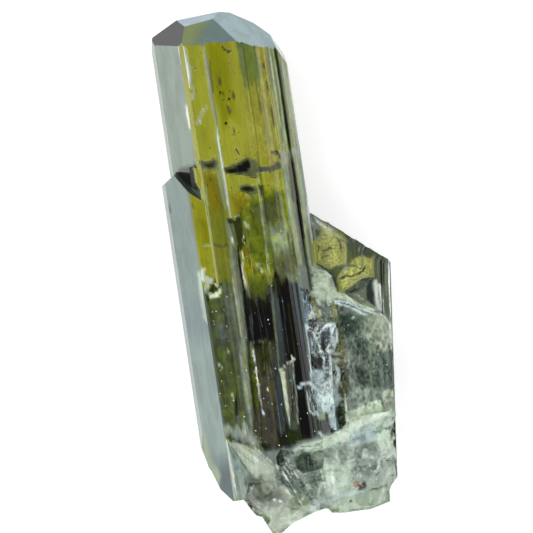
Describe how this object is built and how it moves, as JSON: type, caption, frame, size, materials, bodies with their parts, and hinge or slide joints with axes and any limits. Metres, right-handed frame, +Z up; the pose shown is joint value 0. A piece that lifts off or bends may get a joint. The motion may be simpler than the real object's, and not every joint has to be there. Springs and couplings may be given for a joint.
{
  "type": "epidote crystal specimen",
  "caption": "Epidote crystal group lying on its back: a striated yellow-olive prism with bevelled end faces, a shorter side crystal and a pale broken base",
  "frame": {"origin": "On the flat back that the specimen rests on, in the middle of the main crystal's width, 24 mm above the broken tip", "axes": "+Y along the main crystal to its end faces, +X across it towards the side crystal, +Z up from the flat back to the broad front face"},
  "size_m": [0.0199, 0.0488, 0.0095],
  "materials": {
    "epidote": "glassy yellow-olive crystal, frosted and near black lower down, pale grey-green where broken"
  },
  "bodies": {
    "root": {"epidote_cluster": "epidote"}
  },
  "joints": []
}
